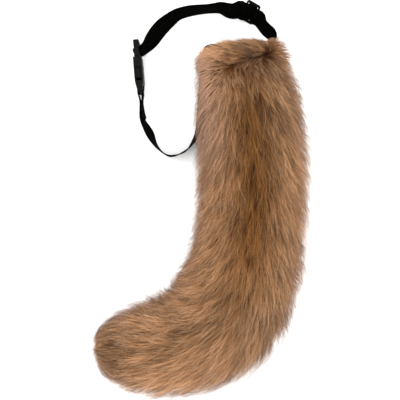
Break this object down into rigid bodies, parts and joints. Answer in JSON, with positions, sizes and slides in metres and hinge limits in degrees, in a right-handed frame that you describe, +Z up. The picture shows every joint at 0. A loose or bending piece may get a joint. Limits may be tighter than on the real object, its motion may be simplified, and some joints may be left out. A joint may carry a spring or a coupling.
{
  "type": "costume animal tail",
  "caption": "Bushy faux fur costume tail, curved at its tip, sewn to a black webbing waist belt with a side release buckle and an adjusting slider.",
  "frame": {"origin": "under the middle of the part's box, on the surface that it lies on", "axes": "+Z up, away from the surface; +Y from the tail's tip end towards the belt; +X to the right as seen from above with the belt at the top, so the tip curves towards -X"},
  "size_m": [0.2686, 0.4914, 0.0994],
  "materials": {
    "fur": "long pile, soft, golden brown with dark roots and greyish tips",
    "webbing": "black woven webbing, matte",
    "buckle_prongs": "black moulded plastic, satin",
    "buckle_socket": "black moulded plastic, satin",
    "slider": "black moulded plastic, satin"
  },
  "bodies": {
    "root": {"tail_fur": "fur", "belt_webbing": "webbing", "buckle_male": "buckle_prongs", "buckle_female": "buckle_socket", "slider": "slider"}
  },
  "joints": []
}
